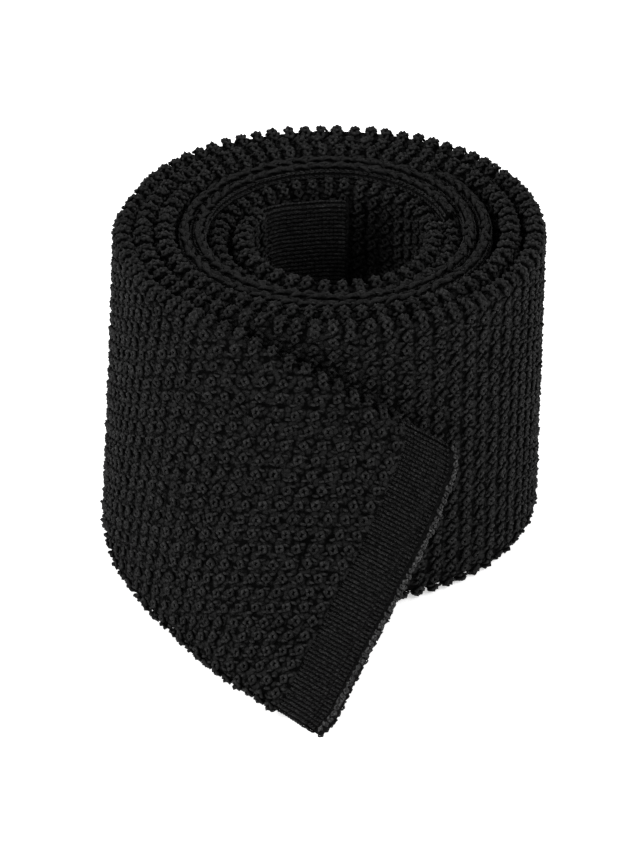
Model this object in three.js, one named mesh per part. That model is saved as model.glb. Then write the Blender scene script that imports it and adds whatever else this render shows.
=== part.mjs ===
// Knitted silk necktie with square ends, rolled up from its narrow end and standing on its long edge.
// Millimetres, +Z up. The loose wide end comes off the left of the roll and leans out towards -Y.
import * as THREE from 'three';

// Driving dimensions
const BLADE_WIDTH = 65;
const BLADE_THICKNESS = 3.4;
const NECK_WIDTH = 58;
const NECK_TOP = 64.6;
const NECK_THICKNESS = 2.5;
const TAIL_WIDTH = 62;
const EDGE_CHAMFER = 0.8;
const NECK_CHAMFER = 0.6;
const SMALL_CHAMFER = 0.12;
const TOUCH_GAP = 0.3;

// The roll: radius of the strip's middle surface against the angle wound, counted from +X.
// The first pair is the tail's cut end, and the last is where the loose wide end leaves the roll.
const ROLL = [
  [77, 16.5], [110, 16.7], [135, 18.8], [160, 18.6], [180, 18.2], [225, 18.3], [270, 19.1], [315, 20.2],
  [360, 20.8], [405, 23.0], [450, 24.5], [495, 24.1], [540, 23.6], [630, 24.2], [720, 24.7], [765, 26.4],
  [810, 27.8], [900, 27.1], [990, 27.7], [1080, 28.1], [1125, 29.6], [1170, 30.8], [1260, 30.0],
  [1350, 30.8], [1440, 31.3], [1485, 32.9], [1530, 34.1], [1620, 34.2], [1710, 35.0], [1800, 36.4],
  [1890, 38.1], [1980, 38.6], [2070, 40.3], [2160, 41.3], [2250, 42.2], [2310, 42.8],
];
const ROLL_STEP = 10;

// The loose wide end: the lower and upper edges of its middle surface against the distance from the roll
const LOOSE_LOWER = [
  [22, -45.9, 2.1, 0.2], [46.6, -44.9, -22.7, 0.5], [63.6, -38.2, -41.4, 0.8],
  [76, -31.5, -53.0, 1.0], [93.6, -22.4, -67.0, 1.3], [126.5, -1.5, -90.0, 1.2],
];
const LOOSE_UPPER = [
  [22, -43.2, -0.4, 65.2], [46.6, -36.9, -24.1, 65.8], [63.6, -27.9, -34.9, 65.6],
  [76, -18.4, -40.5, 63.4], [93.6, -2.0, -44.8, 56.0], [126.5, 25.9, -40.3, 36.0],
];
const LOOSE_LENGTH = 126.5;
const LOOSE_STEP = 4;
const LOOSE_ROWS = 5;
const LEAVE_ANGLE = 2310;

// Where one piece of the tie ends and the next begins
const TAIL_END_ANGLE = 77;
const TAIL_FOLD_ANGLE = 141;
const TAIL_NECK_ANGLE = 738;
const NECK_BLADE_ANGLE = 1488;
const FRONT_FOLD_DISTANCE = 26;
const FOLD_GAP = 1.1;
const SEAM_WIDTH = 1.0;
const FRONT_HEM_LENGTH = 13;
const CAST_OFF_WIDTH = 1.6;
const HEM_STITCH_WIDTH = 1.2;
const HEM_STITCH_THICKNESS = 0.5;
const HEM_STITCH_MARGIN = 0.05;

// The keeper loop and the blank care label, on the hidden back of the wide blade
const TAPE_THICKNESS = 0.45;
const KEEPER_ANGLES = [2178, 2189];
const KEEPER_LOW = 10;
const KEEPER_HIGH = 55;
const TACK_HEIGHT = 1.5;
const LABEL_ANGLES = [2140, 2164];
const LABEL_LOW = 24;
const LABEL_HIGH = 42;

const DEGREE = Math.PI / 180;

const silkKnit = new THREE.MeshStandardMaterial({ color: 0x141416, roughness: 0.75, metalness: 0 });
const plainKnit = new THREE.MeshStandardMaterial({ color: 0x18181a, roughness: 0.7, metalness: 0 });
const silkThread = new THREE.MeshStandardMaterial({ color: 0x202022, roughness: 0.6, metalness: 0 });
const satinTape = new THREE.MeshStandardMaterial({ color: 0x1c1c1e, roughness: 0.5, metalness: 0 });

// Smooth value or point at x in a list of [x, value, ...] rows
function smoothAt(rows, x) {
  let i = 0;
  while (i < rows.length - 2 && x > rows[i + 1][0]) i += 1;
  const before = rows[Math.max(i - 1, 0)];
  const start = rows[i];
  const end = rows[i + 1];
  const after = rows[Math.min(i + 2, rows.length - 1)];
  const span = end[0] - start[0];
  const t = (x - start[0]) / span;
  return start.slice(1).map((value, k) => {
    const c = k + 1;
    const slopeIn = span * (end[c] - before[c]) / (end[0] - before[0]);
    const slopeOut = span * (after[c] - start[c]) / (after[0] - start[0]);
    const rise = end[c] - value;
    const square = 3 * rise - 2 * slopeIn - slopeOut;
    const cube = slopeIn + slopeOut - 2 * rise;
    return value + t * (slopeIn + t * (square + t * cube));
  });
}

function rollPoint(angle, z) {
  const [radius] = smoothAt(ROLL, angle);
  return new THREE.Vector3(radius * Math.cos(angle * DEGREE), radius * Math.sin(angle * DEGREE), z);
}

// Rows of a loose edge, led in by two points of the roll so that it leaves without a kink
function looseRows(edge, z) {
  const lead = rollPoint(LEAVE_ANGLE - ROLL_STEP, z);
  const leave = rollPoint(LEAVE_ANGLE, z);
  return [[-leave.distanceTo(lead), ...lead.toArray()], [0, ...leave.toArray()], ...edge];
}

const looseLower = looseRows(LOOSE_LOWER, 0);
const looseUpper = looseRows(LOOSE_UPPER, BLADE_WIDTH);

// A station is a row of points across the strip's middle surface, from its lower edge to its upper one,
// each with the outward normal there. This one is at an angle of the roll, between two heights.
function rollStation(angle, low, high, rows = 1) {
  const along = rollPoint(angle + 1, 0).sub(rollPoint(angle - 1, 0)).normalize();
  const normal = new THREE.Vector3(along.y, -along.x, 0);
  return Array.from({ length: rows + 1 }, (_, i) => {
    return { point: rollPoint(angle, low + (high - low) * i / rows), normal };
  });
}

// A station at a distance along the loose end, which is ruled between its two edges
function looseStation(distance, margin = 0) {
  const at = (rows, d) => new THREE.Vector3(...smoothAt(rows, d));
  const low = at(looseLower, distance);
  const high = at(looseUpper, distance);
  const up = high.clone().sub(low).normalize();
  const heading = (rows) => at(rows, distance + 0.5).sub(at(rows, distance - 0.5));
  const lowHeading = heading(looseLower);
  const highHeading = heading(looseUpper);
  return Array.from({ length: LOOSE_ROWS + 1 }, (_, i) => {
    const share = margin + (1 - 2 * margin) * i / LOOSE_ROWS;
    const along = lowHeading.clone().lerp(highHeading, share);
    return { point: low.clone().lerp(high, share), normal: along.cross(up).normalize() };
  });
}

function steps(from, to, step) {
  const count = Math.max(1, Math.ceil((to - from) / step));
  return Array.from({ length: count + 1 }, (_, i) => from + (to - from) * i / count);
}

// Angles of the roll on one common grid, so that neighbouring turns have their facets side by side
function rollAngles(from, to) {
  const grid = [];
  for (let a = Math.ceil(from / ROLL_STEP) * ROLL_STEP; a < to; a += ROLL_STEP) grid.push(a);
  const inner = grid.filter((a) => a - from > 1 && to - a > 1);
  return [from, ...inner, to];
}

function rollStrip(from, to, low, high, rows = 1) {
  return rollAngles(from, to).map((angle) => rollStation(angle, low, high, rows));
}

function looseStrip(from, to, margin = 0) {
  return steps(from, to, LOOSE_STEP).map((distance) => looseStation(distance, margin));
}

// A closed solid along a run of stations: a flat section with chamfered edges, offset from the middle surface
function loft(stations, thickness, chamfer, offset = 0) {
  const half = thickness / 2;
  const rings = stations.map((row) => {
    const low = row[0];
    const high = row[row.length - 1];
    const up = high.point.clone().sub(low.point).normalize().multiplyScalar(chamfer);
    const off = ({ point, normal }, out) => point.clone().addScaledVector(normal, offset + out);
    const wall = (side) => row.map((spot) => {
      const inset = Number(spot === low) - Number(spot === high);
      return off(spot, side * half).addScaledVector(up, inset);
    });
    const edge = (spot, side) => off(spot, side * (half - chamfer));
    return [
      edge(low, 1), ...wall(1), edge(high, 1),
      edge(high, -1), ...wall(-1).reverse(), edge(low, -1),
    ];
  });
  const sides = rings[0].length;
  const indices = [];
  for (let r = 0; r + 1 < rings.length; r += 1) {
    for (let s = 0; s < sides; s += 1) {
      const a = r * sides + s;
      const b = r * sides + (s + 1) % sides;
      indices.push(a, a + sides, b, b, a + sides, b + sides);
    }
  }
  // Each end is closed by a ladder of faces from one wall across to the other.
  const last = (rings.length - 1) * sides;
  for (let s = 0; s + 1 < sides / 2; s += 1) {
    const across = sides - 1 - s;
    indices.push(s, s + 1, across - 1, s, across - 1, across);
    indices.push(last + s, last + across - 1, last + s + 1, last + s, last + across, last + across - 1);
  }
  const geometry = new THREE.BufferGeometry();
  const positions = rings.flat().flatMap((point) => point.toArray());
  geometry.setAttribute('position', new THREE.Float32BufferAttribute(positions, 3));
  geometry.setIndex(indices);
  geometry.computeVertexNormals();
  return geometry;
}

function piece(name, geometry, material) {
  const mesh = new THREE.Mesh(geometry, material);
  mesh.name = name;
  return mesh;
}

// Degrees of the roll that a length takes up at an angle
function degreesOf(length, angle) {
  const [radius] = smoothAt(ROLL, angle);
  return length / radius / DEGREE;
}

function makeFrontBlade() {
  const start = NECK_BLADE_ANGLE + degreesOf(SEAM_WIDTH / 2 + TOUCH_GAP, NECK_BLADE_ANGLE);
  const wound = rollStrip(start, LEAVE_ANGLE, 0, BLADE_WIDTH, LOOSE_ROWS);
  const leaving = looseStrip(0, FRONT_FOLD_DISTANCE - TOUCH_GAP / 2).slice(1);
  return piece('front_blade', loft([...wound, ...leaving], BLADE_THICKNESS, EDGE_CHAMFER), silkKnit);
}

function makeNeckband() {
  const start = TAIL_NECK_ANGLE + degreesOf(SEAM_WIDTH / 2 + TOUCH_GAP, TAIL_NECK_ANGLE);
  const end = NECK_BLADE_ANGLE - degreesOf(SEAM_WIDTH / 2 + TOUCH_GAP, NECK_BLADE_ANGLE);
  const stations = rollStrip(start, end, NECK_TOP - NECK_WIDTH, NECK_TOP);
  return piece('neckband', loft(stations, NECK_THICKNESS, NECK_CHAMFER), plainKnit);
}

function makeTailBlade() {
  const start = TAIL_FOLD_ANGLE + degreesOf(FOLD_GAP / 2, TAIL_FOLD_ANGLE);
  const end = TAIL_NECK_ANGLE - degreesOf(SEAM_WIDTH / 2 + TOUCH_GAP, TAIL_NECK_ANGLE);
  return piece('tail_blade', loft(rollStrip(start, end, 0, TAIL_WIDTH), BLADE_THICKNESS, EDGE_CHAMFER), silkKnit);
}

function makeNeckSeam(name, angle) {
  const half = degreesOf(SEAM_WIDTH / 2, angle);
  const stations = rollStrip(angle - half, angle + half, NECK_TOP - NECK_WIDTH, NECK_TOP - EDGE_CHAMFER);
  return piece(name, loft(stations, NECK_THICKNESS - TOUCH_GAP, SMALL_CHAMFER), silkThread);
}

// Pieces of the loose wide end, from its fold line to its cast-off edge
function makeLooseEnd() {
  const hemStart = LOOSE_LENGTH - FRONT_HEM_LENGTH;
  const castOffStart = LOOSE_LENGTH - CAST_OFF_WIDTH;
  const stitchStart = hemStart - HEM_STITCH_WIDTH * 2;
  const panel = looseStrip(FRONT_FOLD_DISTANCE + TOUCH_GAP / 2, hemStart - TOUCH_GAP);
  const hem = looseStrip(hemStart, castOffStart - TOUCH_GAP);
  const castOff = looseStrip(castOffStart, LOOSE_LENGTH);
  const stitches = looseStrip(stitchStart, stitchStart + HEM_STITCH_WIDTH, HEM_STITCH_MARGIN);
  const behind = -(BLADE_THICKNESS / 2 + FOLD_GAP / 2 + HEM_STITCH_THICKNESS / 2);
  return [
    piece('front_loose_panel', loft(panel, BLADE_THICKNESS, EDGE_CHAMFER), silkKnit),
    piece('front_hem_band', loft(hem, NECK_THICKNESS, NECK_CHAMFER), plainKnit),
    piece('front_cast_off_edge', loft(castOff, NECK_THICKNESS, NECK_CHAMFER), silkThread),
    piece('front_hem_stitches', loft(stitches, HEM_STITCH_THICKNESS, SMALL_CHAMFER, behind), silkThread),
  ];
}

// Pieces of the tail's free end, from its cast-off edge to its fold line
function makeTailEnd() {
  const castOffEnd = TAIL_END_ANGLE + degreesOf(CAST_OFF_WIDTH, TAIL_END_ANGLE);
  const hemStart = castOffEnd + degreesOf(TOUCH_GAP, TAIL_END_ANGLE);
  const hemEnd = TAIL_FOLD_ANGLE - degreesOf(FOLD_GAP / 2, TAIL_FOLD_ANGLE);
  const stitchStart = hemEnd - degreesOf(HEM_STITCH_WIDTH * 2, TAIL_FOLD_ANGLE);
  const stitchEnd = hemEnd - degreesOf(HEM_STITCH_WIDTH, TAIL_FOLD_ANGLE);
  const behind = NECK_THICKNESS / 2 + TOUCH_GAP + HEM_STITCH_THICKNESS / 2;
  const castOff = rollStrip(TAIL_END_ANGLE, castOffEnd, 0, TAIL_WIDTH);
  const hem = rollStrip(hemStart, hemEnd, 0, TAIL_WIDTH);
  const stitches = rollStrip(stitchStart, stitchEnd, EDGE_CHAMFER, TAIL_WIDTH - EDGE_CHAMFER);
  return [
    piece('tail_cast_off_edge', loft(castOff, NECK_THICKNESS, NECK_CHAMFER), silkThread),
    piece('tail_hem_band', loft(hem, NECK_THICKNESS, NECK_CHAMFER), plainKnit),
    piece('tail_hem_stitches', loft(stitches, HEM_STITCH_THICKNESS, SMALL_CHAMFER, behind), silkThread),
  ];
}

// The keeper loop, its two bar tacks and the blank label, close behind the blade's hidden face
function makeKeeper() {
  const behind = -(BLADE_THICKNESS / 2 + TOUCH_GAP + TAPE_THICKNESS / 2);
  const tape = (name, [from, to], low, high, material) => {
    return piece(name, loft(rollStrip(from, to, low, high), TAPE_THICKNESS, SMALL_CHAMFER, behind), material);
  };
  const lowerTackTop = KEEPER_LOW - TOUCH_GAP;
  const upperTackLow = KEEPER_HIGH + TOUCH_GAP;
  return [
    tape('keeper_loop', KEEPER_ANGLES, KEEPER_LOW, KEEPER_HIGH, satinTape),
    tape('keeper_tack_lower', KEEPER_ANGLES, lowerTackTop - TACK_HEIGHT, lowerTackTop, silkThread),
    tape('keeper_tack_upper', KEEPER_ANGLES, upperTackLow, upperTackLow + TACK_HEIGHT, silkThread),
    tape('blank_label', LABEL_ANGLES, LABEL_LOW, LABEL_HIGH, satinTape),
  ];
}

const necktie = new THREE.Group();
necktie.add(makeTailBlade());
necktie.add(...makeTailEnd());
necktie.add(makeNeckSeam('tail_neck_seam', TAIL_NECK_ANGLE));
necktie.add(makeNeckband());
necktie.add(makeNeckSeam('front_neck_seam', NECK_BLADE_ANGLE));
necktie.add(makeFrontBlade());
necktie.add(...makeKeeper());
necktie.add(...makeLooseEnd());

// The origin is the middle of the bounding box, at the height of the edge that the tie stands on
const box = new THREE.Box3().setFromObject(necktie, true);
const middle = box.getCenter(new THREE.Vector3());
necktie.position.set(-middle.x, -middle.y, -box.min.z);

export default necktie;
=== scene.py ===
import math

import bpy
import numpy as np
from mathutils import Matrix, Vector


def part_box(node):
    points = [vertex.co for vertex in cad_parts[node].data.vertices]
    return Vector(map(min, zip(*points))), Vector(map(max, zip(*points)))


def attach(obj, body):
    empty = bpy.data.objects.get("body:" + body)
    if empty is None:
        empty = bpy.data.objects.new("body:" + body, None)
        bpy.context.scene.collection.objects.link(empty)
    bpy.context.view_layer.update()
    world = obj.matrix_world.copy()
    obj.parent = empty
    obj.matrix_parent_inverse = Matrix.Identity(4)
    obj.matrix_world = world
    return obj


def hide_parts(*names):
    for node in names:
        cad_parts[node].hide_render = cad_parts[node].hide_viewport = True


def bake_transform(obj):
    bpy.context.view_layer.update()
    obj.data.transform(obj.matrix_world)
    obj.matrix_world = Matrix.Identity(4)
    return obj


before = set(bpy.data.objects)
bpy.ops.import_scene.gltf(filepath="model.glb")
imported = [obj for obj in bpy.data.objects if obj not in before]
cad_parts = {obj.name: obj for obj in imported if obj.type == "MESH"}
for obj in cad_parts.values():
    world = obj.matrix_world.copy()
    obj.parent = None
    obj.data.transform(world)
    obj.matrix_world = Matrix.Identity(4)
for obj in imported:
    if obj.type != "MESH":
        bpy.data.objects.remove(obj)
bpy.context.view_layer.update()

# Tail blade. The narrow half of the tie is a flattened tube of raised silk knit, wound more than one and a
# half times round the hole and sewn to the neckband. It is the first piece to need the strip's path, the
# silk yarn, the stitches and the crunchy knit, so each of these is worked out here, in that order.
MM = 0.001
BLADE_WIDTH = 65.0
TAIL_WIDTH = 62.0

# The strip's path. One strip is wound from the tail's cut end outwards, then runs off the roll as the loose
# wide end. Its pieces are placed by distance along it, height on the blade and how far they stand out, in
# millimetres. ROLL gives the middle's radius at angles in degrees; the loose edges' rows are the distance
# from the roll, then x, y and height from the roll's centre.
ROLL = [
    (77, 16.5), (110, 16.7), (135, 18.8), (160, 18.6), (180, 18.2), (225, 18.3), (270, 19.1), (315, 20.2),
    (360, 20.8), (405, 23.0), (450, 24.5), (495, 24.1), (540, 23.6), (630, 24.2), (720, 24.7), (765, 26.4),
    (810, 27.8), (900, 27.1), (990, 27.7), (1080, 28.1), (1125, 29.6), (1170, 30.8), (1260, 30.0),
    (1350, 30.8), (1440, 31.3), (1485, 32.9), (1530, 34.1), (1620, 34.2), (1710, 35.0), (1800, 36.4),
    (1890, 38.1), (1980, 38.6), (2070, 40.3), (2160, 41.6), (2205, 42.4), (2250, 42.7), (2310, 42.7),
]
LOOSE_LOWER = [
    (22, -45.9, 2.1, 0.2), (46.6, -44.9, -22.7, 0.5), (63.6, -38.2, -41.4, 0.8),
    (76, -31.5, -53.0, 1.0), (93.6, -22.4, -67.0, 1.3), (126.5, -1.5, -90.0, 1.2),
]
LOOSE_UPPER = [
    (22, -42.8, -0.4, 65.2), (46.6, -36.9, -24.1, 65.8), (63.6, -27.9, -34.9, 65.6),
    (76, -18.4, -40.5, 63.4), (93.6, -2.0, -44.8, 56.0), (126.5, 25.9, -40.3, 36.0),
]
LEAVE_ANGLE = ROLL[-1][0]
LOOSE_LENGTH = LOOSE_LOWER[-1][0]
LEAD_DEGREES = 10
TABLE_STEP = 0.5
END_BOW = 1.8
BOW_CREST = 4 / 27
BOW_LENGTH = 70.0
CORNER = 6.0
CORNER_CUT = 2.4
# How far the front blade's solid reaches to the right of the roll's centre and behind it
BLADE_REACH_X, BLADE_REACH_Y = 43.0, 43.9


def smooth_at(rows, x):
    """Smooth values at x from rows of (x, value, ...)."""
    rows = np.array(rows, float)
    x = np.atleast_1d(x).astype(float)
    last = len(rows) - 1
    i = np.clip(np.searchsorted(rows[:, 0], x, side="left") - 1, 0, last - 1)
    before, start = rows[np.maximum(i - 1, 0)], rows[i]
    end, after = rows[i + 1], rows[np.minimum(i + 2, last)]
    span = end[:, :1] - start[:, :1]
    t = (x[:, None] - start[:, :1]) / span
    slope_in = span * (end - before)[:, 1:] / (end - before)[:, :1]
    slope_out = span * (after - start)[:, 1:] / (after - start)[:, :1]
    rise = (end - start)[:, 1:]
    square = 3 * rise - 2 * slope_in - slope_out
    cube = slope_in + slope_out - 2 * rise
    return start[:, 1:] + t * (slope_in + t * (square + t * cube))


def roll_points(angles, height):
    """Points of the wound strip's middle surface at angles in degrees."""
    angles = np.atleast_1d(angles).astype(float)
    radius = smooth_at(ROLL, angles)[:, 0]
    turn = np.radians(angles)
    return np.stack([radius * np.cos(turn), radius * np.sin(turn), np.full_like(turn, height)], 1)


def edge_path(loose_edge, height):
    """One long edge of the strip: its points from the tail's cut end to a little past the wide end."""
    wound = roll_points(roll_angles, height)
    lead = roll_points(LEAVE_ANGLE - LEAD_DEGREES, height)[0]
    leave = wound[-1]
    rows = [(-np.linalg.norm(leave - lead), *lead), (0, *leave), *loose_edge]
    return np.concatenate([wound, smooth_at(rows, loose_steps)])


roll_angles = np.arange(ROLL[0][0], LEAVE_ANGLE + TABLE_STEP / 2, TABLE_STEP)
loose_steps = np.arange(TABLE_STEP, LOOSE_LENGTH + 2 * END_BOW, TABLE_STEP)
blade_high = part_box("front_blade")[1]
centre = np.array([blade_high.x / MM - BLADE_REACH_X, blade_high.y / MM - BLADE_REACH_Y, 0])
lower_path = edge_path(LOOSE_LOWER, 0.0)
upper_path = edge_path(LOOSE_UPPER, BLADE_WIDTH)
roll_steps = np.linalg.norm(np.diff(lower_path[: len(roll_angles)], axis=0), axis=1)
roll_run = np.concatenate([[0.0], np.cumsum(roll_steps)])
LEAVE = roll_run[-1]
TIE_LENGTH = LEAVE + LOOSE_LENGTH
run = np.concatenate([roll_run, LEAVE + loose_steps])
lower_path += centre
upper_path += centre


def at_angle(angle):
    """Distance along the strip at an angle of the roll."""
    return float(np.interp(angle, roll_angles, roll_run))


def on_path(path, s):
    return np.stack([np.interp(s, run, path[:, k]) for k in range(3)], -1)


def unit(v):
    return v / np.linalg.norm(v, axis=-1, keepdims=True)


def lay(s, height, out):
    """Places flat strip coordinates on the lying tie: points, and the along, up and outward directions."""
    s, height, out = np.broadcast_arrays(*map(np.asarray, (s, height, out)))
    share = height / BLADE_WIDTH
    ramp = np.clip((s - TIE_LENGTH + BOW_LENGTH) / BOW_LENGTH, 0, 1)
    corner = np.clip(1 - np.minimum(height, BLADE_WIDTH - height) / CORNER, 0, 1)
    bow = END_BOW * share * share * (1 - share) / BOW_CREST
    s = s + (bow - CORNER_CUT * corner * corner) * ramp * ramp
    low, high = on_path(lower_path, s), on_path(upper_path, s)
    low_heading = on_path(lower_path, s + TABLE_STEP) - on_path(lower_path, s - TABLE_STEP)
    high_heading = on_path(upper_path, s + TABLE_STEP) - on_path(upper_path, s - TABLE_STEP)
    share = share[..., None]
    up = unit(high - low)
    outward = unit(np.cross(low_heading * (1 - share) + high_heading * share, up))
    along = np.cross(up, outward)
    return low + (high - low) * share + outward * out[..., None], along, up, outward


def hold(piece, slot, replaces=(), body="roll", fold=None):
    """Attaches a finished piece to its body, or with a fold given bakes its placement into its mesh; hides
    the solids it stands for.
    """
    if fold is None:
        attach(piece, body)
    else:
        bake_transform(piece)
    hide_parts(*replaces)
    return piece


# Silk yarn. Spun silk dyed black is soft and slightly hairy. Its grey carries painted shade, dull grey where
# a stitch stands out and near black where it sinks into the knit, and painted glints in the fibre texture.
# Each part of the tie has its own tone; some of these greys are painted light too, as noted where they are
# made.
class Socket:
    """A shader value: operators on it add Math nodes to its tree."""

    def __init__(self, shader, socket):
        self.shader = shader
        self.socket = socket

    def math(self, operation, a, b):
        return self.shader.add("ShaderNodeMath", {"operation": operation}, {0: a, 1: b})

    def __add__(self, other):
        return self.math("ADD", self, other)

    def __sub__(self, other):
        return self.math("SUBTRACT", self, other)

    def __rsub__(self, other):
        return self.math("SUBTRACT", other, self)

    def __mul__(self, other):
        return self.math("MULTIPLY", self, other)

    def __pow__(self, other):
        return self.math("POWER", self, other)

    def __rpow__(self, other):
        return self.math("POWER", other, self)

    __radd__ = __add__
    __rmul__ = __mul__


class Shader:
    """A material's node tree with a Principled surface."""

    def __init__(self, name):
        self.material = bpy.data.materials.new(name)
        self.material.use_nodes = True
        self.tree = self.material.node_tree
        self.surface = self.tree.nodes["Principled BSDF"]

    def add(self, kind, settings, sockets, output=0):
        """Adds a node: first its settings, then values or links for its sockets."""
        node = self.tree.nodes.new(kind)
        for key, value in settings.items():
            setattr(node, key, value)
        for key, value in sockets.items():
            self.join(node.inputs[key], value)
        return Socket(self, node.outputs[output])

    def join(self, target, value):
        if isinstance(value, Socket):
            self.tree.links.new(value.socket, target)
        else:
            target.default_value = value

    def noise(self, scale, detail):
        """Noise over the object's own coordinates, scale features to the metre."""
        where = self.add("ShaderNodeTexCoord", {}, {}, "Object")
        return self.add("ShaderNodeTexNoise", {}, {"Vector": where, "Scale": scale, "Detail": detail})

    def mix(self, factor, a, b):
        """A colour between two greys; the Mix node's colours are its sockets 6 and 7 and its output 2."""
        sockets = {0: factor, 6: (a, a, a, 1.0), 7: (b, b, b, 1.0)}
        return self.add("ShaderNodeMix", {"data_type": "RGBA"}, sockets, 2)

    def bump(self, height, strength, distance):
        sockets = {"Height": height, "Strength": strength, "Distance": distance}
        self.set("Normal", self.add("ShaderNodeBump", {}, sockets))

    def set(self, name, value):
        self.join(self.surface.inputs[name], value)


FIBRE_SCALE = 3600.0
PLY_SCALE = 1500.0
WEAR_SCALE = 160.0
GRAIN_GAIN, GRAIN_GLINT_CONTRAST = 0.9, 4.5
LEAST_LIGHT, DYE_SHARE = 0.05, 0.25
WEAR_FLOOR, WEAR_GAIN = 0.6, 0.8
ROUGHNESS_SPREAD = 0.3
FIBRE_BUMP, FIBRE_RELIEF = 0.8, 0.15 * MM


def silk(name, pit, crown, lift, roughness, specular):
    """Dyed silk yarn with painted shade, from its grey in a pit to its grey on a stitch's crown; lift
    lightens the painted shade at its root, and the fibre texture carries painted glints.
    """
    shader = Shader(name)
    fibre = shader.noise(FIBRE_SCALE, 2.0)
    ply = shader.noise(PLY_SCALE, 1.0)
    wear = shader.noise(WEAR_SCALE, 3.0)
    height = shader.add("ShaderNodeAttribute", {"attribute_name": "crown"}, {}, "Fac")
    tone = shader.add("ShaderNodeAttribute", {"attribute_name": "tone"}, {}, "Fac")
    # Fibre texture raised to a high power: partly real fibre, partly painted glints in its rare bright specks
    grain = (fibre * GRAIN_GAIN + ply * GRAIN_GAIN) ** GRAIN_GLINT_CONTRAST
    # Painted shade: darker towards a stitch's root by its height, the crown attribute
    painted_height_shade = lift + height * height * (1.0 - lift)
    light = painted_height_shade * (LEAST_LIGHT + grain + tone * DYE_SHARE) * (WEAR_FLOOR + wear * WEAR_GAIN)
    shader.set("Base Color", shader.mix(light, pit, crown))
    shader.set("Roughness", roughness + (wear - 0.5) * ROUGHNESS_SPREAD)
    shader.set("Specular IOR Level", specular)
    shader.bump(fibre + ply, FIBRE_BUMP, FIBRE_RELIEF)
    return shader.material


GROUND_FIBRE_SCALE = 2600.0
BEAD_SCATTER = 0.8
BEAD_EDGE, BEAD_TOP = 0.72, 0.35
BEAD_LEAST, BEAD_GAIN = 0.2, 3.0
BEAD_ROUGHNESS, BEAD_SPECULAR = 0.85, 0.02
BEAD_RELIEF = 0.5 * MM


def knitted_ground(name, pit, crown, pitch):
    """The dense knit between raised stitches: small rounded beads of yarn about a pitch apart, in metres.
    Each bead is painted with shade, lighter on its top and near black at its edges.
    """
    shader = Shader(name)
    where = shader.add("ShaderNodeTexCoord", {}, {}, "Object")
    cells = {"Vector": where, "Scale": 1.0 / pitch, "Randomness": BEAD_SCATTER}
    bead = shader.add("ShaderNodeTexVoronoi", {}, cells)
    fibre = shader.noise(GROUND_FIBRE_SCALE, 2.0)
    curve = {"Value": bead, "From Min": BEAD_EDGE, "From Max": BEAD_TOP}
    rounded = shader.add("ShaderNodeMapRange", {"interpolation_type": "SMOOTHSTEP"}, curve)
    # Painted shade: light on each bead's top and near black between beads, with fibre noise on it
    light = rounded * (BEAD_LEAST + fibre * fibre * BEAD_GAIN)
    shader.set("Base Color", shader.mix(light, pit, crown))
    shader.set("Roughness", BEAD_ROUGHNESS)
    shader.set("Specular IOR Level", BEAD_SPECULAR)
    shader.bump(rounded + fibre * 0.5, 1.0, BEAD_RELIEF)
    return shader.material


knit_silk = silk("crunchy_knit_silk", 0.0015, 0.0245, 0.05, 0.62, 0.045)
strand_silk = silk("linking_strand_silk", 0.001, 0.019, 0.1, 0.7, 0.03)
# The ground is darker than the loops: painted shade where it lies below the raised stitches
ground_silk = knitted_ground("knit_ground_silk", 0.001, 0.0125, 1.25 * MM)


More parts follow.
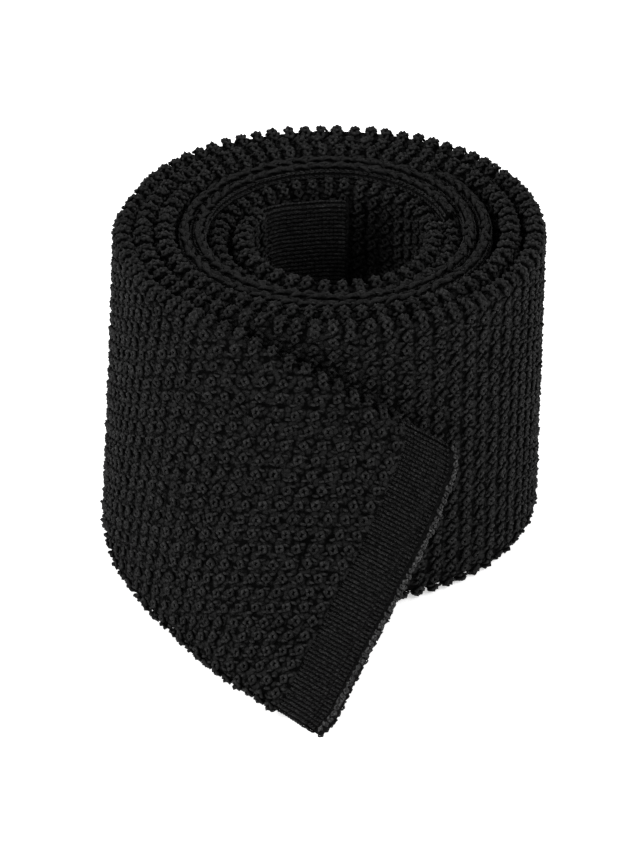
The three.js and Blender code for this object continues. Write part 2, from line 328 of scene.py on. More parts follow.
# Stitches. Knitting repeats one loop of yarn over a lattice, so each kind of stitch is one shape set on
# seats: points of the cloth that carry the direction along the strip and the direction they face.
class Nodes:
    """A Geometry Nodes tree that turns seats into stitches, with named sizes."""

    SIZES = ("Width", "Height", "Yarn", "Rise", "Lean", "Wobble", "Ruffle")

    def __init__(self, name):
        self.tree = bpy.data.node_groups.new(name, "GeometryNodeTree")
        face = self.tree.interface
        face.new_socket("Geometry", in_out="INPUT", socket_type="NodeSocketGeometry")
        for size in self.SIZES:
            face.new_socket(size, in_out="INPUT", socket_type="NodeSocketFloat")
        face.new_socket("Seed", in_out="INPUT", socket_type="NodeSocketInt")
        face.new_socket("Silk", in_out="INPUT", socket_type="NodeSocketMaterial")
        face.new_socket("Geometry", in_out="OUTPUT", socket_type="NodeSocketGeometry")
        self.given = self.tree.nodes.new("NodeGroupInput").outputs
        self.result = self.tree.nodes.new("NodeGroupOutput").inputs

    def add(self, kind, settings, sockets, output=0):
        node = self.tree.nodes.new(kind)
        for key, value in settings.items():
            setattr(node, key, value)
        for key, value in sockets.items():
            if isinstance(value, bpy.types.NodeSocket):
                self.tree.links.new(value, node.inputs[key])
            else:
                node.inputs[key].default_value = value
        return node.outputs[output]

    def maths(self, operation, a, b=0.0):
        return self.add("ShaderNodeMath", {"operation": operation}, {0: a, 1: b})

    def vector(self, x=0.0, y=0.0, z=0.0):
        return self.add("ShaderNodeCombineXYZ", {}, {"X": x, "Y": y, "Z": z})

    def vector_maths(self, operation, sockets):
        return self.add("ShaderNodeVectorMath", {"operation": operation}, sockets)

    def direction(self, name):
        settings = {"data_type": "FLOAT_VECTOR"}
        return self.add("GeometryNodeInputNamedAttribute", settings, {"Name": name})

    def store(self, geometry, name, domain, value):
        settings = {"data_type": "FLOAT", "domain": domain}
        sockets = {"Geometry": geometry, "Name": name, "Value": value}
        return self.add("GeometryNodeStoreNamedAttribute", settings, sockets)

    def moved(self, geometry, **sockets):
        """Geometry moved, turned or scaled: the keywords are a Transform node's sockets."""
        return self.add("GeometryNodeTransform", {}, {"Geometry": geometry, **sockets})

    def bow(self, start, middle, end):
        """A bow of four short lengths from start to end, drawn towards middle."""
        sockets = {"Resolution": 4, "Start": start, "Middle": middle, "End": end}
        return self.add("GeometryNodeCurveQuadraticBezier", {}, sockets)

    def sweep(self, centreline, sides, girth=1.0):
        """Yarn swept along a centreline, thicker or thinner by girth."""
        profile = {"Resolution": sides, "Radius": self.given["Yarn"]}
        ring = self.add("GeometryNodeCurvePrimitiveCircle", {}, profile)
        swept = {"Curve": centreline, "Profile Curve": ring, "Scale": girth, "Fill Caps": True}
        return self.add("GeometryNodeCurveToMesh", {}, swept)


CROWN_MARGIN = 0.2 * MM
SPIN_SHARE = 2.0
SIZE_LEAST, SIZE_MOST = (0.9, 0.9, 0.85), (1.1, 1.1, 1.15)
RUFFLE_SCALE = 900.0


def crowned(nodes, shape):
    """The shape raised and leaned, with its height on the stitch as the attribute crown, which the silk turns
    into painted shade.
    """
    given = nodes.given
    rise, lean = nodes.vector(z=given["Rise"]), nodes.vector(x=given["Lean"])
    raised = nodes.moved(shape, Translation=rise, Rotation=lean)
    point = nodes.add("GeometryNodeInputPosition", {}, {})
    height = nodes.add("ShaderNodeSeparateXYZ", {}, {"Vector": point}, "Z")
    top = nodes.maths("ADD", nodes.maths("ADD", given["Rise"], given["Yarn"]), CROWN_MARGIN)
    share = nodes.add("ShaderNodeMapRange", {}, {"Value": height, "From Min": 0.0, "From Max": top})
    return nodes.store(raised, "crown", "POINT", share)


def seat_rotation(nodes):
    """Each seat's own turn, swayed a little at random and spun a little more about the way it faces."""
    given = nodes.given
    axes = {"Primary Axis": nodes.direction("facing"), "Secondary Axis": nodes.direction("along")}
    settings = {"primary_axis": "Z", "secondary_axis": "X"}
    seated = nodes.add("FunctionNodeAxesToRotation", settings, axes)
    wobble = given["Wobble"]
    back = nodes.maths("MULTIPLY", wobble, -1.0)
    spread = {
        "Min": nodes.vector(back, back, nodes.maths("MULTIPLY", wobble, -SPIN_SHARE)),
        "Max": nodes.vector(wobble, wobble, nodes.maths("MULTIPLY", wobble, SPIN_SHARE)),
        "Seed": given["Seed"],
    }
    sway = nodes.add("FunctionNodeRandomValue", {"data_type": "FLOAT_VECTOR"}, spread)
    sway_turn = nodes.add("FunctionNodeEulerToRotation", {}, {"Euler": sway})
    local = {"Rotation": seated, "Rotate By": sway_turn}
    return nodes.add("FunctionNodeRotateRotation", {"rotation_space": "LOCAL"}, local)


def ruffled(nodes, geometry):
    """Geometry with its points pushed about by noise, as yarn never lies quite true."""
    noise = nodes.add("ShaderNodeTexNoise", {}, {"Scale": RUFFLE_SCALE, "Detail": 1.0}, "Color")
    centred = nodes.vector_maths("SUBTRACT", {0: noise, 1: (0.5, 0.5, 0.5)})
    push = nodes.vector_maths("SCALE", {0: centred, "Scale": nodes.given["Ruffle"]})
    return nodes.add("GeometryNodeSetPosition", {}, {"Geometry": geometry, "Offset": push})


def stitch_tree(name, shape):
    """A tree that sets one shape on every seat, each turned, sized and dyed a little differently."""
    nodes = Nodes(name)
    given = nodes.given
    bounds = {"Min": SIZE_LEAST, "Max": SIZE_MOST, "Seed": given["Seed"]}
    placed = {
        "Points": given["Geometry"],
        "Instance": crowned(nodes, shape(nodes)),
        "Rotation": seat_rotation(nodes),
        "Scale": nodes.add("FunctionNodeRandomValue", {"data_type": "FLOAT_VECTOR"}, bounds),
    }
    instances = nodes.add("GeometryNodeInstanceOnPoints", {}, placed)
    dye = nodes.add("FunctionNodeRandomValue", {"data_type": "FLOAT"}, {"Seed": given["Seed"]}, 1)
    instances = nodes.store(instances, "tone", "INSTANCE", dye)
    real = nodes.add("GeometryNodeRealizeInstances", {}, {"Geometry": instances})
    smooth = nodes.add("GeometryNodeSetShadeSmooth", {}, {"Geometry": ruffled(nodes, real)})
    finished = nodes.add("GeometryNodeSetMaterial", {}, {"Geometry": smooth, "Material": given["Silk"]})
    nodes.tree.links.new(finished, nodes.result["Geometry"])
    return nodes.tree


LOOP_POINTS = 8
LOOP_FULL, LOOP_PINCHED = 1.2, 0.55


def raised_loop(nodes):
    """A closed loop of yarn that stands on the knit like an eye, pinched between its four turns."""
    given = nodes.given
    circle = nodes.add("GeometryNodeCurvePrimitiveCircle", {}, {"Resolution": LOOP_POINTS, "Radius": 0.5})
    every_other = nodes.maths("MODULO", nodes.add("GeometryNodeInputIndex", {}, {}), 2.0)
    turns = {"Value": every_other, "To Min": LOOP_FULL, "To Max": LOOP_PINCHED}
    girth = nodes.add("ShaderNodeMapRange", {}, turns)
    thickness = nodes.maths("MULTIPLY", given["Yarn"], 2.0)
    wide = nodes.maths("SUBTRACT", given["Width"], thickness)
    high = nodes.maths("SUBTRACT", given["Height"], thickness)
    return nodes.sweep(nodes.moved(circle, Scale=nodes.vector(wide, high, 1.0)), 5, girth)


def knob(nodes):
    """The bundle of yarn under a raised loop."""
    given = nodes.given
    ball = nodes.add("GeometryNodeMeshUVSphere", {}, {"Segments": 8, "Rings": 5, "Radius": 0.5})
    deep = nodes.maths("MULTIPLY", given["Yarn"], 2.0)
    return nodes.moved(ball, Scale=nodes.vector(given["Width"], given["Height"], deep))


def arched_strand(nodes):
    """A bow of yarn Width long, which comes out by Height and dips at its ends."""
    given = nodes.given
    half = nodes.maths("MULTIPLY", given["Width"], 0.5)
    start = nodes.vector(x=nodes.maths("MULTIPLY", half, -1.0))
    middle = nodes.vector(z=nodes.maths("MULTIPLY", given["Height"], 2.0))
    return nodes.sweep(nodes.bow(start, middle, nodes.vector(x=half)), 5)


loop_stitch = stitch_tree("raised_loop", raised_loop)
knob_stitch = stitch_tree("knob", knob)
strand_stitch = stitch_tree("linking_strand", arched_strand)


def add_piece(name, mesh):
    piece = bpy.data.objects.new(name, mesh)
    bpy.context.scene.collection.objects.link(piece)
    return piece


def stitch(name, tree, seats, material, seed, **sizes):
    """Runs a stitch tree on seats (points, along, facing) and keeps the result as a plain mesh."""
    points, along, facing = seats
    mesh = bpy.data.meshes.new(name + "_seats")
    mesh.from_pydata((points * MM).tolist(), [], [])
    for key, values in (("along", along), ("facing", facing)):
        attribute = mesh.attributes.new(key, "FLOAT_VECTOR", "POINT")
        attribute.data.foreach_set("vector", values.astype(np.float32).ravel())
    bare = add_piece(name + "_seats", mesh)
    modifier = bare.modifiers.new("stitches", "NODES")
    modifier.node_group = tree
    given = {"Seed": seed, "Silk": material}
    given.update({key.capitalize(): value for key, value in sizes.items()})
    for item in tree.interface.items_tree:
        if item.in_out == "INPUT" and item.name in given:
            modifier[item.identifier] = given[item.name]
    depsgraph = bpy.context.evaluated_depsgraph_get()
    stitched = bpy.data.meshes.new_from_object(bare.evaluated_get(depsgraph))
    stitched.name = name
    bpy.data.objects.remove(bare)
    return add_piece(name, stitched)


# Crunchy knit: a dense ground with raised loops in staggered columns, small beads of yarn between the rows,
# and a cluster of loops over each fold. Where other turns hide a face, only the rows near its folds are made.
COLUMN_PITCH = 3.5
ROW_PITCH = 3.25
TOP_INSET, BOTTOM_INSET = 0.4, 0.6
GROUND_HALF = 1.3
GROUND_STEP = 1.75
TOP_RIM, BOTTOM_RIM = 8.5, 4.0
FOLD_LIFT, FOLD_SPREAD = 0.4, 0.9
STRAND_SHIFT, STRAND_GAP = 0.85, 0.25
STRAND_TILT = 0.25
JITTER = 0.1
LOOP = dict(width=2.2 * MM, height=2.45 * MM, yarn=0.45 * MM, rise=0.35 * MM, lean=0.12, wobble=0.16,
            ruffle=0.6 * MM)
KNOB = dict(width=1.7 * MM, height=2.0 * MM, yarn=0.45 * MM, rise=-0.3 * MM, lean=0.0, wobble=0.1,
            ruffle=0.5 * MM)
STRAND = dict(width=1.05 * MM, height=0.35 * MM, yarn=0.3 * MM, rise=0.05 * MM, lean=0.0, wobble=0.16,
              ruffle=0.5 * MM)
FRONT_SIDE, BACK_SIDE = math.pi / 2, -math.pi / 2


def joined(groups):
    """One set of seats from several."""
    return tuple(np.concatenate(parts) for parts in zip(*groups))


def girth(low, high, half):
    return 2 * (high - low - 2 * half) + 2 * math.pi * half


def tube_section(p, low, high, half):
    """Height, out and facing angle at distances p round a flattened tube, from its upper fold forwards."""
    quarter = half * math.pi / 2
    straight = high - low - 2 * half
    breaks = np.cumsum([0, quarter, straight, 2 * quarter, straight, quarter])
    top, bottom = high - half, low + half
    angle = np.interp(p, breaks, np.radians([0, 90, 90, 270, 270, 360]))
    middle = np.interp(p, breaks, [top, top, bottom, bottom, top, top])
    return middle + half * np.cos(angle), half * np.sin(angle), angle


def faced(s, height, out, angle, tilt=0.0):
    """Seats from strip coordinates: points, the way along the strip turned by tilt, the way they face."""
    points, along, up, outward = lay(s, height, out)
    angle, tilt = np.broadcast_to(angle, s.shape)[..., None], np.broadcast_to(tilt, s.shape)[..., None]
    facing = up * np.cos(angle) + outward * np.sin(angle)
    across = np.cross(facing, along)
    return points, along * np.cos(tilt) + across * np.sin(tilt), facing


def cloth_tube(name, s_from, s_to, low, high, half, material, step=GROUND_STEP):
    """The closed ground of a knitted tube; half is its half thickness, or rows of (s, half thickness)."""
    count = max(2, round((s_to - s_from) / step)) + 1
    rows = half if hasattr(half, "__len__") else [(s_from, half), (s_to, half)]
    line = np.linspace(s_from, s_to, count)
    halves = np.interp(line, *zip(*rows))
    around = 2 * round(girth(low, high, halves[0]) / GROUND_STEP / 2)
    section = [tube_section(np.arange(around) / around * girth(low, high, h), low, high, h) for h in halves]
    height, out = (np.array([ring[k] for ring in section]) for k in (0, 1))
    points = lay(line[:, None] + 0 * height, height, out)[0].reshape(-1, 3) * MM
    faces = []
    for i in range(count - 1):
        for j in range(around):
            a, b = i * around + j, i * around + (j + 1) % around
            faces.append((a, b, b + around, a + around))
    # Each end is closed by a ladder of faces between the tube's two walls.
    for j in range(around // 2):
        a, b, c, d = j, j + 1, (-j - 1) % around, -j % around
        cap = tuple(dict.fromkeys((a, d, c, b)))
        if len(cap) > 2:
            faces.append(cap)
            faces.append(tuple(k + (count - 1) * around for k in reversed(cap)))
    mesh = bpy.data.meshes.new(name)
    mesh.from_pydata(points.tolist(), [], faces)
    mesh.materials.append(material)
    for polygon in mesh.polygons:
        polygon.use_smooth = True
    return add_piece(name, mesh)


def lattice(s_from, s_to, low, high, shown, rng):
    """Seats of the raised loops and of the strands between them, on the faces that shown() keeps."""
    whole = girth(low, high, GROUND_HALF)
    half_rows = 4 * round(whole / ROW_PITCH / 2)
    columns = np.arange(math.ceil(s_from / COLUMN_PITCH), math.floor(s_to / COLUMN_PITCH) + 1)
    i, j = np.meshgrid(columns, np.arange(half_rows), indexing="ij")
    i, j = i.ravel(), j.ravel()
    s = i * COLUMN_PITCH + rng.normal(0, JITTER, i.shape)
    p = (j * whole / half_rows + rng.normal(0, JITTER, j.shape)) % whole
    height, out, angle = tube_section(p, low, high, GROUND_HALF)
    rim = (height > high - TOP_RIM) | (height < low + BOTTOM_RIM)
    kept = rim | shown(s, np.sign(np.round(out, 3)))
    at_fold = (j % (half_rows // 2)) == 0
    odd = (i + j) % 2 == 1
    chosen = kept & ~odd & ~at_fold
    loops = [faced(s[chosen], height[chosen], out[chosen], angle[chosen])]
    for side in (-1, 0, 1):
        spread = (p[at_fold] + side * FOLD_SPREAD) % whole
        height, out, angle = tube_section(spread, low, high, GROUND_HALF)
        loops.append(faced(s[at_fold], height + FOLD_LIFT * np.cos(angle), out, angle))
    chosen = kept & odd
    strands = []
    for side in (-1, 1):
        shifted = tube_section((p[chosen] + side * STRAND_GAP) % whole, low, high, GROUND_HALF)
        strands.append(faced(s[chosen] + side * STRAND_SHIFT, *shifted, STRAND_TILT))
    return joined(loops), joined(strands)


def crunchy_knit(name, s_from, s_to, low, high, shown, seed, finish):
    """The stitches of one stretch of crunchy knit, in three pieces."""
    rng = np.random.default_rng(seed)
    loops, strands = lattice(s_from, s_to, low, high, shown, rng)
    made = [
        stitch(name + "_loops", loop_stitch, loops, knit_silk, seed, **LOOP),
        stitch(name + "_knobs", knob_stitch, loops, strand_silk, seed, **KNOB),
        stitch(name + "_strands", strand_stitch, strands, strand_silk, seed + 1, **STRAND),
    ]
    for piece in made:
        hold(piece, "crunchy_knit", **finish)
    return made


# The tail's own stretch of the strip. Its back, which faces the hole, shows all the way down.
TAIL_FOLD = at_angle(141)
TAIL_NECK = at_angle(738)
TAIL_BACK_SHOWN = at_angle(530)
TAIL_LOW, TAIL_HIGH = BOTTOM_INSET, TAIL_WIDTH - TOP_INSET
SEAM_MARGIN = 1.0
KNIT_OVERLAP = 0.5


def tail_shown(s, side):
    return (side < 0) & (s < TAIL_BACK_SHOWN)


tail_ground = cloth_tube(
    "tail_blade_ground", TAIL_FOLD, TAIL_NECK, TAIL_LOW, TAIL_HIGH, GROUND_HALF, ground_silk)
hold(tail_ground, "crunchy_knit", ["tail_blade"])
tail_knit = crunchy_knit(
    "tail_blade", TAIL_FOLD + SEAM_MARGIN, TAIL_NECK - SEAM_MARGIN, TAIL_LOW, TAIL_HIGH, tail_shown, 11, {})


# Tail hem. A plain-knit band of the same silk ends the tail inside the hole. Its cut end is closed by a
# cast-off chain and its turned-in back is caught down by hand.
HEM_WALE, HEM_COURSE = 0.95, 0.85
PLAIN_HALF = 0.95
WHOLE_DEPTH = 99.0
TAIL_GROUND_START = 0.4
TAIL_EDGE_HALF = 1.0
TAIL_RIB_START = 1.6
plain_silk = silk("plain_knit_silk", 0.001, 0.03, 0.1, 0.62, 0.045)
# A darker copy of the silk for the tail's cast-off and catch stitches: painted shade deep in the hole
shaded_silk = silk("tail_cast_off_silk", 0.001, 0.012, 0.1, 0.7, 0.03)
# The fine ground under the plain stitches is near black: painted shade below the stitches
fine_ground_silk = silk("fine_knit_ground_silk", 0.001, 0.005, 0.8, 0.85, 0.02)
VEE_WIDTH_SHARE, VEE_HEIGHT_SHARE, VEE_YARN_SHARE = 0.38, 0.9, 0.17
VEE_RISE, VEE_RUFFLE = 0.15 * MM, 0.3 * MM


def nested_vee(nodes):
    """The face of a plain stitch: two legs Width apart that meet Height further back."""
    given = nodes.given
    half = nodes.maths("MULTIPLY", given["Width"], 0.5)
    start = nodes.vector(y=nodes.maths("MULTIPLY", half, -1.0))
    middle = nodes.vector(x=nodes.maths("MULTIPLY", given["Height"], -2.0), z=given["Yarn"])
    return nodes.sweep(nodes.bow(start, middle, nodes.vector(y=half)), 4)


vee_stitch = stitch_tree("plain_stitch", nested_vee)


def plain_knit(name, s_from, s_to, low, high, half, wale, course, depth, seed, finish, dips=None):
    """Vee stitches in ribs along the strip, over the whole tube or to a depth below its folds."""
    whole = girth(low, high, half)
    wales = round(whole / wale)
    i, j = np.meshgrid(np.arange(s_from, s_to, course), np.arange(wales), indexing="ij")
    s, p = i.ravel(), j.ravel() * whole / wales
    height, out, angle = tube_section(p, low, high, half)
    out = out * np.interp(s, *zip(*dips)) if dips else out
    kept = (height > high - depth) | (height < low + min(depth, BOTTOM_RIM))
    seats = faced(s[kept], height[kept], out[kept], angle[kept])
    sizes = dict(width=wale * VEE_WIDTH_SHARE * MM, height=course * VEE_HEIGHT_SHARE * MM,
                 yarn=wale * VEE_YARN_SHARE * MM, rise=VEE_RISE, lean=0.0, wobble=0.1, ruffle=VEE_RUFFLE)
    piece = stitch(name, vee_stitch, seats, plain_silk, seed, **sizes)
    return hold(piece, "plain_knit", **finish)


CHAIN = dict(width=1.7 * MM, height=1.15 * MM, yarn=0.28 * MM, rise=0.1 * MM, lean=0.1, wobble=0.4,
             ruffle=0.9 * MM)
CHAIN_TILT = math.pi / 2 + 0.35


def edge_chain(name, s, low, high, half, pitch, yarn, seed, finish):
    """Cast-off chain along a cut end: overlapping links on both faces, set half a pitch apart."""
    heights = np.arange(low, high, pitch)
    line = s + 0 * heights
    rows = [
        faced(line, heights + side * pitch / 4, side * half, side * FRONT_SIDE, CHAIN_TILT)
        for side in (1, -1)
    ]
    piece = stitch(name, loop_stitch, joined(rows), yarn, seed, **CHAIN)
    return hold(piece, "silk_thread", **finish)


CATCH_PITCH, CATCH_SLANT = 2.0, 0.7
CATCH = dict(width=2.6 * MM, height=0.3 * MM, yarn=0.16 * MM, rise=0.0, lean=0.0, wobble=0.05)


def catch_stitches(name, s, low, high, out, yarn, node, seed, finish):
    """The row of slanting hand stitches that holds a hem down on the back."""
    heights = np.arange(low, high, CATCH_PITCH)
    slant = np.where(np.arange(len(heights)) % 2 == 0, CATCH_SLANT, -CATCH_SLANT)
    seats = faced(s + 0 * heights, heights, out, BACK_SIDE, slant + math.pi / 2)
    piece = stitch(name, strand_stitch, seats, yarn, seed, **CATCH)
    return hold(piece, "silk_thread", [node], **finish)


# The fold: a line from the tail blade's start into the hem is given for the hem's pieces; nothing turns them.
FOLD_CLEAR, FOLD_REACH = 0.3, 9.0
tail_fold_points = lay(np.array([TAIL_FOLD + FOLD_CLEAR, TAIL_FOLD - FOLD_REACH]), 0.0, 0.0)[0] * MM
tail_fold = dict(start=tuple(tail_fold_points[0]), end=tuple(tail_fold_points[1]))
tail_finish = dict(body="tail_end", fold=tail_fold)

tail_rows = [(TAIL_GROUND_START, TAIL_EDGE_HALF), (TAIL_FOLD, PLAIN_HALF)]
tail_hem = cloth_tube(
    "tail_hem_ground", TAIL_GROUND_START, TAIL_FOLD, TAIL_LOW, TAIL_HIGH, tail_rows, fine_ground_silk,
    step=0.9)
hold(tail_hem, "plain_knit", ["tail_hem_band", "tail_cast_off_edge"], **tail_finish)
tail_hem_knit = plain_knit(
    "tail_hem_stitching", TAIL_RIB_START, TAIL_FOLD + KNIT_OVERLAP, TAIL_LOW, TAIL_HIGH, PLAIN_HALF,
    HEM_WALE, HEM_COURSE, WHOLE_DEPTH, 31, tail_finish)
tail_edge = edge_chain(
    "tail_cast_off", s=0.7, low=TAIL_LOW + 0.6, high=TAIL_HIGH - 0.3, half=0.8, pitch=1.5, yarn=shaded_silk,
    seed=33, finish=tail_finish)
tail_catch = catch_stitches(
    "tail_hem_catch_stitches", s=TAIL_FOLD - 1.4, low=3.0, high=59.0, out=-1.15, yarn=shaded_silk,
    node="tail_hem_stitches", seed=35, finish=tail_finish)


# Neckband. The narrower band between the two blades is plain knit of the same silk, wound about twice. Its
# folded long edges show as a chain of long overlapping links.
NECK_BLADE = at_angle(1488)
NECK_LOW, NECK_HIGH = 6.6, 64.6
NECK_INSET = 0.5
NECK_BOTTOM, NECK_TOP = NECK_LOW + NECK_INSET, NECK_HIGH - NECK_INSET
NECK_WALE, NECK_COURSE = 1.2, 1.1
NECK_STITCH_DEPTH = 6.5
NECK_STRETCHES = 3
NECK_LINK_PITCH = 1.7
NECK_LINK_OUT, NECK_LINK_TILT = 0.4, 0.16
NECK_LINK = dict(width=3.4 * MM, height=0.55 * MM, yarn=0.44 * MM, rise=-0.2 * MM, lean=0.0, wobble=0.16,
                 ruffle=0.9 * MM)
neck_edge_silk = silk("neckband_edge_silk", 0.001, 0.012, 0.1, 0.66, 0.035)
neck_ground = cloth_tube(
    "neckband_ground", TAIL_NECK, NECK_BLADE, NECK_BOTTOM, NECK_TOP, PLAIN_HALF, fine_ground_silk)
hold(neck_ground, "plain_knit", ["neckband"])
neck_cuts = np.linspace(TAIL_NECK, NECK_BLADE, NECK_STRETCHES + 1)
for k, (cut_from, cut_to) in enumerate(zip(neck_cuts, neck_cuts[1:])):
    plain_knit(
        f"neckband_stitching_{k + 1}", cut_from, cut_to, NECK_BOTTOM, NECK_TOP, PLAIN_HALF, NECK_WALE,
        NECK_COURSE, NECK_STITCH_DEPTH, 51 + k, {})
neck_links = np.arange(TAIL_NECK + SEAM_MARGIN, NECK_BLADE - SEAM_MARGIN, NECK_LINK_PITCH)
neck_sides = np.where(np.arange(len(neck_links)) % 2 == 0, 1.0, -1.0)
for name, height, angle in (("upper", NECK_TOP, 0.0), ("lower", NECK_BOTTOM, math.pi)):
    seats = faced(neck_links, height, neck_sides * NECK_LINK_OUT, angle, neck_sides * NECK_LINK_TILT)
    chain = stitch(f"neckband_{name}_chain", strand_stitch, seats, neck_edge_silk, 55, **NECK_LINK)
    hold(chain, "plain_knit")
neck_size = ((NECK_HIGH - NECK_LOW) * MM, (NECK_BLADE - TAIL_NECK) * MM)


# Joining seams. Where each blade meets the neckband, silk thread runs across the strip in whip stitches on
# both faces.
SEAM_PITCH = 1.5
SEAM_OUT = 1.5
SEAM_TILT = 0.25
SEAM_BOTTOM = NECK_LOW + 1.0
WHIP = dict(width=2.6 * MM, height=0.35 * MM, yarn=0.3 * MM, rise=0.0, lean=0.0, wobble=0.1)
# A brighter copy of the silk: painted highlight on the front cast-off's ridge, also used for seams and tacks
edge_silk = silk("cast_off_silk", 0.002, 0.075, 0.1, 0.55, 0.1)


def joining_seam(name, s, high, node, seed):
    heights = np.arange(SEAM_BOTTOM, high, SEAM_PITCH)
    line = s + 0 * heights
    rows = [faced(line, heights, side * SEAM_OUT, side * FRONT_SIDE, SEAM_TILT) for side in (1, -1)]
    piece = stitch(name, strand_stitch, joined(rows), edge_silk, seed, **WHIP)
    return hold(piece, "silk_thread", [node])


joining_seam("tail_seam_stitches", TAIL_NECK, TAIL_WIDTH, "tail_neck_seam", 61)
joining_seam("front_seam_stitches", NECK_BLADE, NECK_TOP, "front_neck_seam", 62)


# Front blade. The wide half of the tie, crunchy knit like the tail, wound round the outside of the neckband.
# The outermost turn's front is the roll's own wall.
OUTER_TURN = at_angle(1950)
BLADE_LOW, BLADE_HIGH = BOTTOM_INSET, BLADE_WIDTH - TOP_INSET
CUT_CLEAR = 0.01


def front_shown(s, side):
    return (side > 0) & (s > OUTER_TURN)


front_ground = cloth_tube(
    "front_blade_ground", NECK_BLADE, LEAVE, BLADE_LOW, BLADE_HIGH, GROUND_HALF, ground_silk)
hold(front_ground, "crunchy_knit", ["front_blade"])
front_knit = []
front_cuts = [NECK_BLADE + SEAM_MARGIN, at_angle(1770), OUTER_TURN, at_angle(2130), LEAVE]
for k, (cut_from, cut_to) in enumerate(zip(front_cuts, front_cuts[1:])):
    front_knit += crunchy_knit(
        f"front_blade_{k + 1}", cut_from, cut_to - CUT_CLEAR, BLADE_LOW, BLADE_HIGH, front_shown,
        21 + 2 * k, {})
front_size = (BLADE_WIDTH * MM, (LEAVE - NECK_BLADE) * MM)


# Loose panel. The last of the front blade runs off the roll, leans outwards and shows both of its faces. A
# line beside the roll is given as its fold; nothing bends it.
HEM_LENGTH = 13.0
HEM_START = TIE_LENGTH - HEM_LENGTH
BEND_X = -0.0457
BEND_START, BEND_END = 0.036, 0.006
front_fold = dict(start=(BEND_X, BEND_START, 0), end=(BEND_X, BEND_END, 0))
front_finish = dict(body="loose_end", fold=front_fold)


def loose_shown(s, side):
    return side != 0


loose_ground = cloth_tube(
    "loose_panel_ground", LEAVE, HEM_START, BLADE_LOW, BLADE_HIGH, GROUND_HALF, ground_silk)
hold(loose_ground, "crunchy_knit", ["front_loose_panel"], **front_finish)
loose_knit = crunchy_knit(
    "loose_panel", LEAVE, HEM_START + KNIT_OVERLAP, BLADE_LOW, BLADE_HIGH, loose_shown, 41, front_finish)
loose_size = (BLADE_WIDTH * MM, (HEM_START - LEAVE) * MM)


# Front hem. The plain-knit band at the wide cut end, made as the tail's. Its edge rolls a little, so the
# band dips before the cast-off chain that closes it.
HEM_EDGE = TIE_LENGTH - 1.6
HEM_END = TIE_LENGTH - 0.5
RIB_SETBACK = 0.4
FRONT_WALE, FRONT_COURSE = 0.86, 0.75
hem_dips = [
    (HEM_START, 1.0), (HEM_EDGE - 3.2, 1.0), (HEM_EDGE - 2.2, 0.45), (HEM_EDGE - 0.7, 0.35),
    (HEM_EDGE, 0.9), (HEM_END, 0.85),
]
hem_rows = [(s, PLAIN_HALF * share) for s, share in hem_dips]
front_hem = cloth_tube(
    "front_hem_ground", HEM_START, HEM_END, BLADE_LOW, BLADE_HIGH, hem_rows, fine_ground_silk, step=0.6)
hold(front_hem, "plain_knit", ["front_hem_band", "front_cast_off_edge"], **front_finish)
front_hem_knit = plain_knit(
    "front_hem_stitching", HEM_START - RIB_SETBACK, HEM_EDGE - RIB_SETBACK, BLADE_LOW, BLADE_HIGH,
    PLAIN_HALF, FRONT_WALE, FRONT_COURSE, WHOLE_DEPTH, 43, front_finish, hem_dips)
front_edge = edge_chain(
    "front_cast_off", s=TIE_LENGTH - 0.8, low=BLADE_LOW + 0.8, high=BLADE_HIGH - 0.4, half=0.75, pitch=1.3,
    yarn=edge_silk, seed=45, finish=front_finish)
front_catch = catch_stitches(
    "front_hem_catch_stitches", s=HEM_START - 1.8, low=4.0, high=61.0, out=-2.1, yarn=plain_silk,
    node="front_hem_stitches", seed=47, finish=front_finish)


# Keeper loop, label and tacks. A loop and a blank label of flat satin tape lie on the back of the wide
# blade, and the loop's ends are tacked down with silk thread. Their solids stay as they are.
WEAVE_SCALE = 900.0
TAPE_PIT, TAPE_CROWN = 0.006, 0.02
TAPE_ROUGHNESS, TAPE_ROUGHNESS_SPREAD = 0.32, 0.2
WEAVE_RELIEF = 0.05 * MM
tape = Shader("satin_tape")
tape_where = tape.add("ShaderNodeTexCoord", {}, {}, "Object")
weave_settings = {"wave_type": "BANDS", "bands_direction": "Z"}
weave_sockets = {"Vector": tape_where, "Scale": WEAVE_SCALE, "Distortion": 1.5, "Detail": 2.0}
weave = tape.add("ShaderNodeTexWave", weave_settings, weave_sockets)
tape.set("Base Color", tape.mix(weave, TAPE_PIT, TAPE_CROWN))
tape.set("Roughness", TAPE_ROUGHNESS + weave * TAPE_ROUGHNESS_SPREAD)
tape.set("Specular IOR Level", 0.35)
tape.bump(weave, 0.5, WEAVE_RELIEF)
tape_nodes = {"keeper_loop": tape.material, "blank_label": tape.material}
thread_nodes = {"keeper_tack_lower": edge_silk, "keeper_tack_upper": edge_silk}
for node, material in {**tape_nodes, **thread_nodes}.items():
    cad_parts[node].data.materials.clear()
    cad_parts[node].data.materials.append(material)


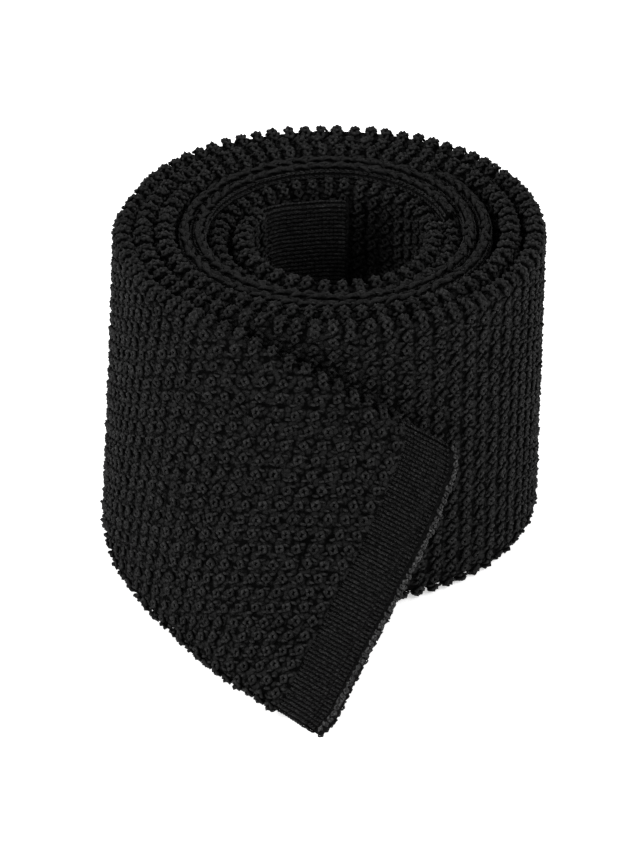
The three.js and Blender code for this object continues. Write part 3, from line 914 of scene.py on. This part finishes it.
# Stage, light and camera. A white sweep under broad soft light, seen from a little above.
FLOOR_SIZE = 6.0
FLOOR_HEIGHT = -0.0009
FLOOR_GLOW = 0.5
WORLD_STRENGTH = 0.9
SOFTBOX_SIZE = 0.5
SOFTBOX_OUT, SOFTBOX_BACK, SOFTBOX_UP = 0.9, -0.25, 0.6
SOFTBOX_TARGET = Vector((0, 0, 0.03))
floor_mesh = bpy.data.meshes.new("floor")
corners = [(x * FLOOR_SIZE, y * FLOOR_SIZE, FLOOR_HEIGHT) for x, y in ((-1, -1), (1, -1), (1, 1), (-1, 1))]
floor_mesh.from_pydata(corners, [], [(0, 1, 2, 3)])
floor_shader = Shader("white_sweep")
floor_shader.set("Base Color", (0.93, 0.93, 0.93, 1.0))
floor_shader.set("Roughness", 0.9)
floor_shader.set("Emission Color", (1.0, 1.0, 1.0, 1.0))
floor_shader.set("Emission Strength", FLOOR_GLOW)
floor_mesh.materials.append(floor_shader.material)
floor = add_piece("floor", floor_mesh)

world = bpy.data.worlds.new("studio")
world.use_nodes = True
background = world.node_tree.nodes["Background"]
background.inputs["Color"].default_value = (1, 1, 1, 1)
background.inputs["Strength"].default_value = WORLD_STRENGTH
bpy.context.scene.world = world
bpy.context.scene.view_settings.view_transform = "Standard"

for name, side, energy in (("left_softbox", -1, 9.0), ("right_softbox", 1, 7.0)):
    light = bpy.data.lights.new(name, "AREA")
    light.energy = energy
    light.size = SOFTBOX_SIZE
    lamp = bpy.data.objects.new(name, light)
    lamp.location = (side * SOFTBOX_OUT, SOFTBOX_BACK, SOFTBOX_UP)
    lamp.rotation_euler = (SOFTBOX_TARGET - lamp.location).to_track_quat("-Z", "Y").to_euler()
    bpy.context.scene.collection.objects.link(lamp)

CAMERA_ELEVATION = math.radians(31.81)
CAMERA_DISTANCE = 0.7583
CAMERA_LENS = 151.87
CAMERA_SENSOR = 36.0
CAMERA_AIM = Vector((-0.0025, 0, 0.0168))
camera_data = bpy.data.cameras.new("camera")
camera_data.lens = CAMERA_LENS
camera_data.sensor_width = CAMERA_SENSOR
camera = bpy.data.objects.new("camera", camera_data)
back = Vector((0, -math.cos(CAMERA_ELEVATION), math.sin(CAMERA_ELEVATION)))
camera.location = Vector(centre * MM) + CAMERA_AIM + back * CAMERA_DISTANCE
camera.rotation_euler = (-back).to_track_quat("-Z", "Y").to_euler()
bpy.context.scene.collection.objects.link(camera)
bpy.context.scene.camera = camera
